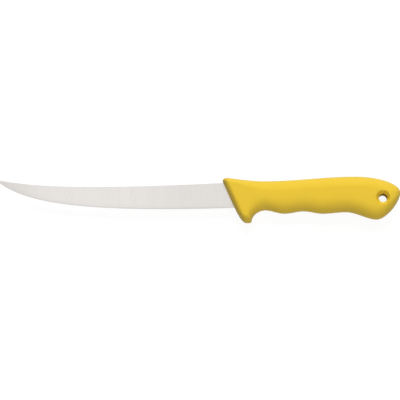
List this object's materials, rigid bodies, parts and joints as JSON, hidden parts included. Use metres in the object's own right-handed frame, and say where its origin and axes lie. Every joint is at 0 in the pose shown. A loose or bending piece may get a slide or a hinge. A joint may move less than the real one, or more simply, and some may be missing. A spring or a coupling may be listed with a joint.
{
  "type": "fish knife",
  "caption": "Fish knife with a thin upswept steel blade and a yellow moulded handle with finger guard, finger grooves and hanging hole.",
  "frame": {"origin": "under the middle of the knife's box, on the surface that the knife lies on", "axes": "+X along the knife from its point to its butt, +Y from the cutting edge to the spine, +Z through the thickness, up from the surface"},
  "size_m": [0.323, 0.0378, 0.019],
  "materials": {
    "steel": "fine satin grind",
    "yellow_plastic": "satin moulded polypropylene"
  },
  "bodies": {
    "root": {"blade": "steel", "handle": "yellow_plastic"}
  },
  "joints": []
}
